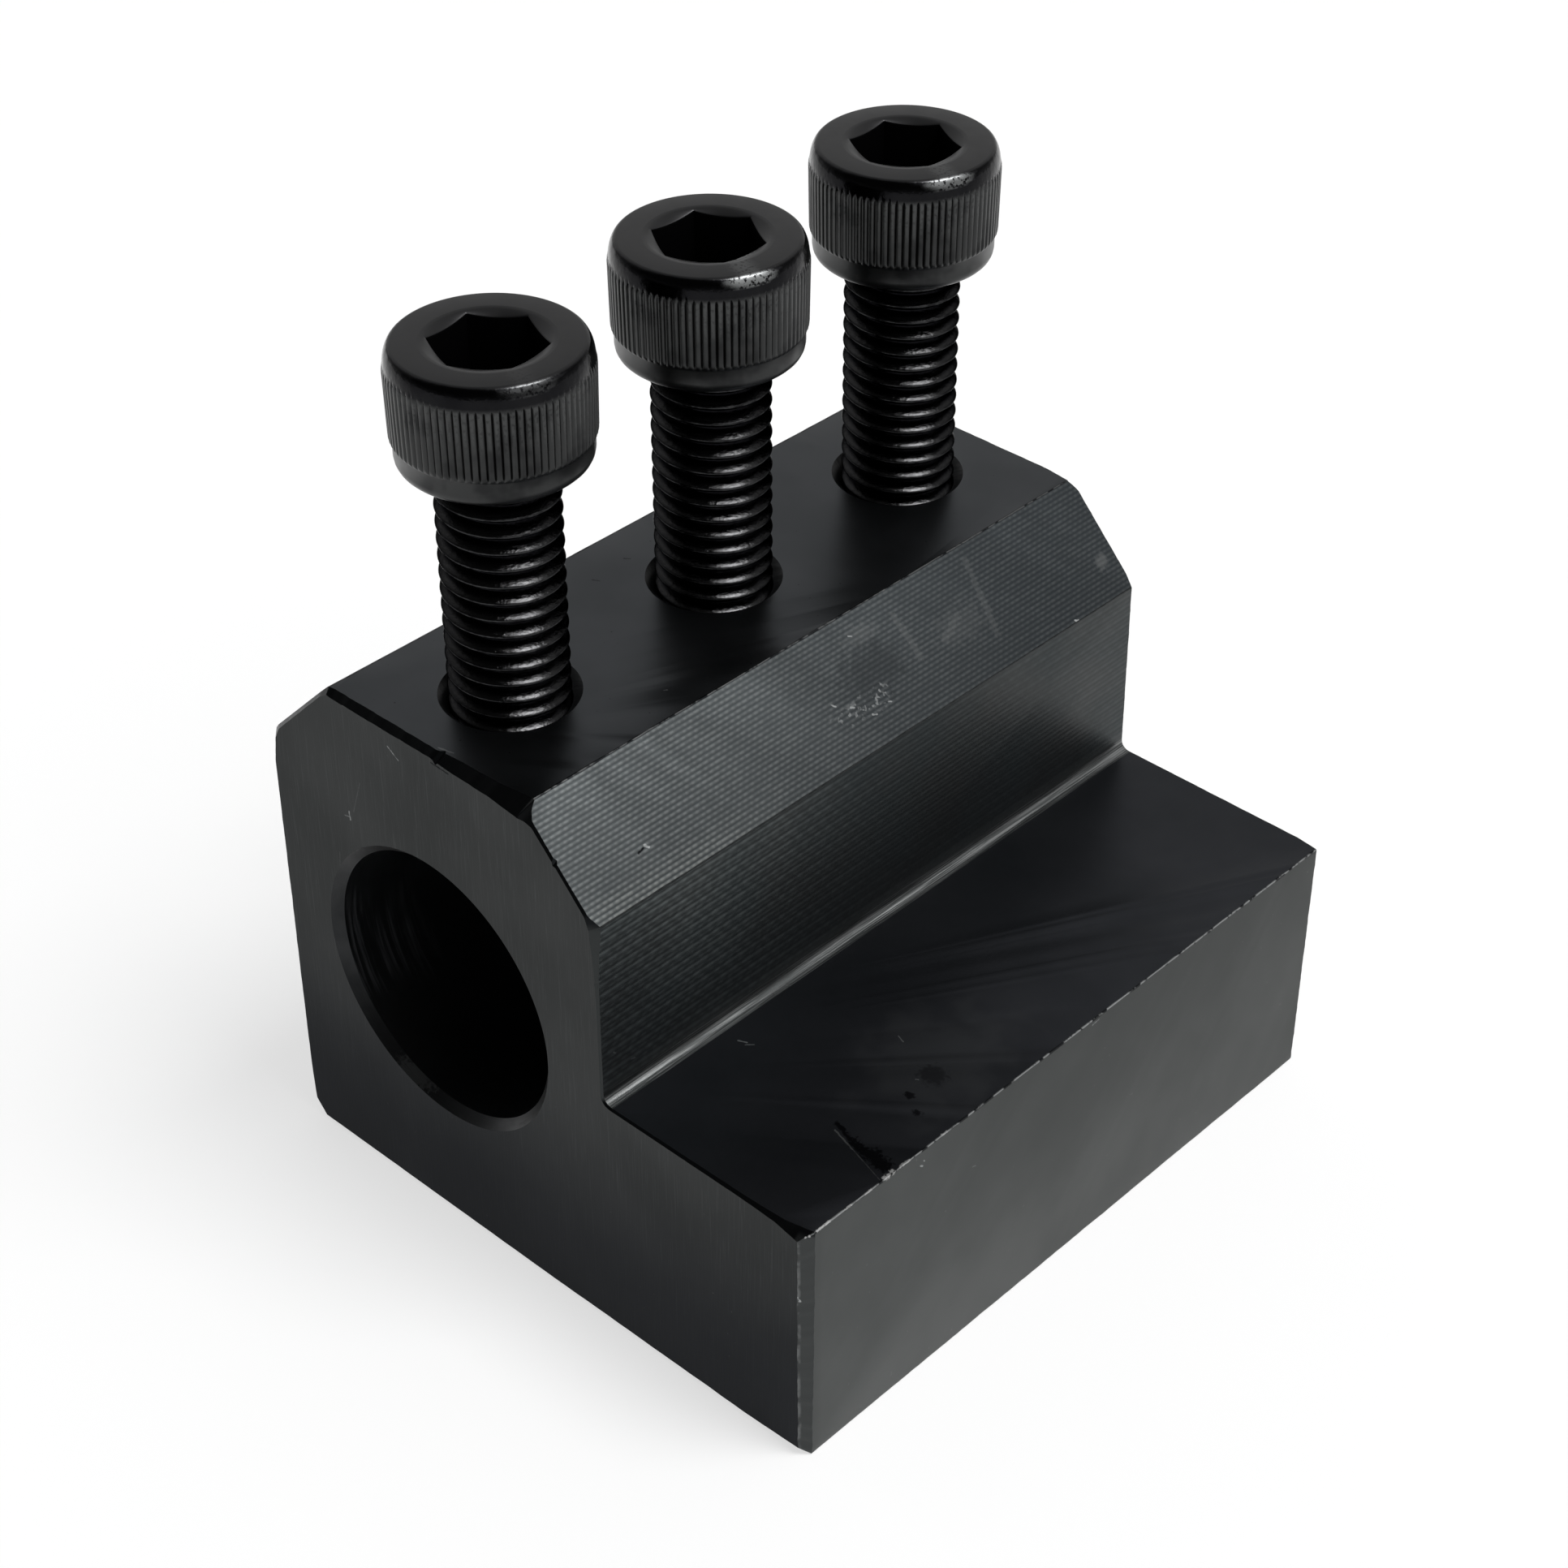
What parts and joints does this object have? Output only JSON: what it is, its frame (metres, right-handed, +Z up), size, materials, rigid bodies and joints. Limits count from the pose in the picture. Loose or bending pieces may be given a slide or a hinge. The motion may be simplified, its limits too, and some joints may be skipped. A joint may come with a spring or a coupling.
{
  "type": "turret tool holder",
  "caption": "Flanged steel block with a round bore for a tool shank, clamped by a row of socket-head cap screws.",
  "frame": {"origin": "middle of the holder's underside, under the middle of its footprint", "axes": "+X across the block from the riser to the clamping flange, +Y along the tool bore away from the end face seen in the picture, +Z up along the clamp screws"},
  "size_m": [0.0604, 0.0666, 0.0814],
  "materials": {
    "block_steel": "milled and ground, black oxide",
    "screw_steel": "forged and rolled, oiled black oxide"
  },
  "bodies": {
    "holder": {"holder_block": "block_steel"},
    "front_screw": {"clamp_screw_front": "screw_steel"},
    "middle_screw": {"clamp_screw_middle": "screw_steel"},
    "rear_screw": {"clamp_screw_rear": "screw_steel"}
  },
  "joints": [
    {"name": "front_screw_travel", "type": "slide", "parent": "holder", "child": "front_screw", "axis": [0, 0, 1], "range_m": [-0.0214, 0.0055]},
    {"name": "middle_screw_travel", "type": "slide", "parent": "holder", "child": "middle_screw", "axis": [0, 0, 1], "range_m": [-0.0214, 0.0055]},
    {"name": "rear_screw_travel", "type": "slide", "parent": "holder", "child": "rear_screw", "axis": [0, 0, 1], "range_m": [-0.0214, 0.0055]}
  ]
}
